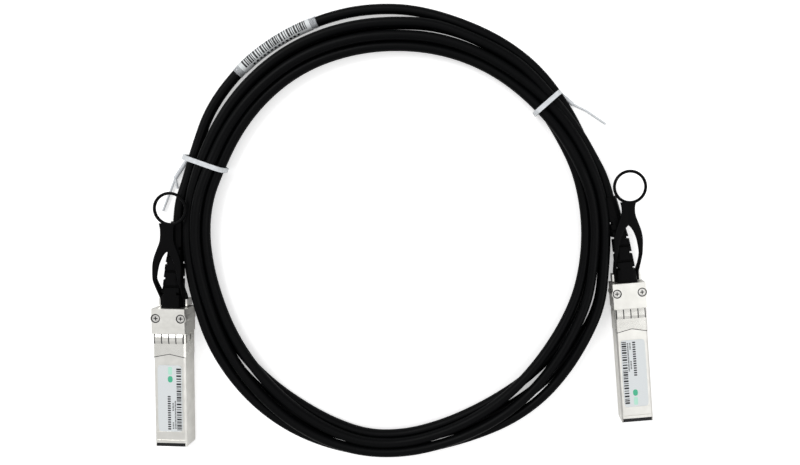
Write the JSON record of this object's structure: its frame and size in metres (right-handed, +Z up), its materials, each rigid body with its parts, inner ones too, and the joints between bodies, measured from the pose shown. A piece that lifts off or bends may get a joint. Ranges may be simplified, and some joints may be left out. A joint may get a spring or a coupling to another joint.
{
  "type": "direct attach copper cable",
  "caption": "Coiled twinaxial cable with a die-cast pluggable end at each end, pull-tab latches, slotted strain reliefs and wrapped label, held by twist ties.",
  "frame": {"origin": "on the surface the cable lies on, midway between the two plugs: the middle of the ground rectangle of the plugs without the free cable", "axes": "+Z up from the surface, +X from one plug to the other across the coil, +Y from the plugs' noses towards their strain reliefs"},
  "size_m": [0.2154, 0.1924, 0.0108],
  "materials": {
    "casting": "satin nickel plated die casting",
    "screw": "plated",
    "label": "smooth white film stock",
    "dust_plug": "moulded",
    "collar": "bright folded sheet",
    "card": "green solder mask",
    "contact": "gold flash",
    "chip": "moulded",
    "capacitor": "fired",
    "wire": "extruded",
    "jacket": "smooth black cable jacket",
    "ferrule": "crimped",
    "slider": "stamped",
    "spring": "drawn wire",
    "tab": "moulded",
    "boot": "overmoulded",
    "tie": "clear coated wire",
    "film": "clear over-wrap"
  },
  "bodies": {
    "cable": {"capacitors_a": "capacitor", "capacitors_b": "capacitor", "card_contacts_a": "contact", "card_contacts_b": "contact", "coil": "jacket", "cover_screws_a": "screw", "cover_screws_b": "screw", "crimp_ferrule_a": "ferrule", "crimp_ferrule_b": "ferrule", "dust_plug_a": "dust_plug", "dust_plug_b": "dust_plug", "housing_label_a": "label", "housing_label_b": "label", "jacket_end_a": "jacket", "jacket_end_b": "jacket", "lead_a": "jacket", "lead_b": "jacket", "lower_shell_a": "casting", "lower_shell_b": "casting", "memory_chip_a": "chip", "memory_chip_b": "chip", "paddle_card_a": "card", "paddle_card_b": "card", "return_spring_a": "spring", "return_spring_b": "spring", "signal_wires_a": "wire", "signal_wires_b": "wire", "spring_collar_a": "collar", "spring_collar_b": "collar", "strain_relief_a": "boot", "strain_relief_b": "boot", "tie_left": "tie", "tie_right": "tie", "upper_shell_a": "casting", "upper_shell_b": "casting", "wrap_film": "film", "wrap_label": "label"},
    "latch_a": {"latch_slider_a": "slider", "pull_tab_a": "tab"},
    "latch_b": {"latch_slider_b": "slider", "pull_tab_b": "tab"}
  },
  "joints": [
    {"name": "latch_a_slide", "type": "slide", "parent": "cable", "child": "latch_a", "axis": [0.0262, 0.9997, 0], "range_m": [0, 0.0028], "stiffness_N_per_m": 400, "springref_m": -0.002, "deforming": ["return_spring_a"]},
    {"name": "latch_b_slide", "type": "slide", "parent": "cable", "child": "latch_b", "axis": [-0.0837, 0.9965, 0], "range_m": [0, 0.0028], "stiffness_N_per_m": 400, "springref_m": -0.002, "deforming": ["return_spring_b"]}
  ]
}
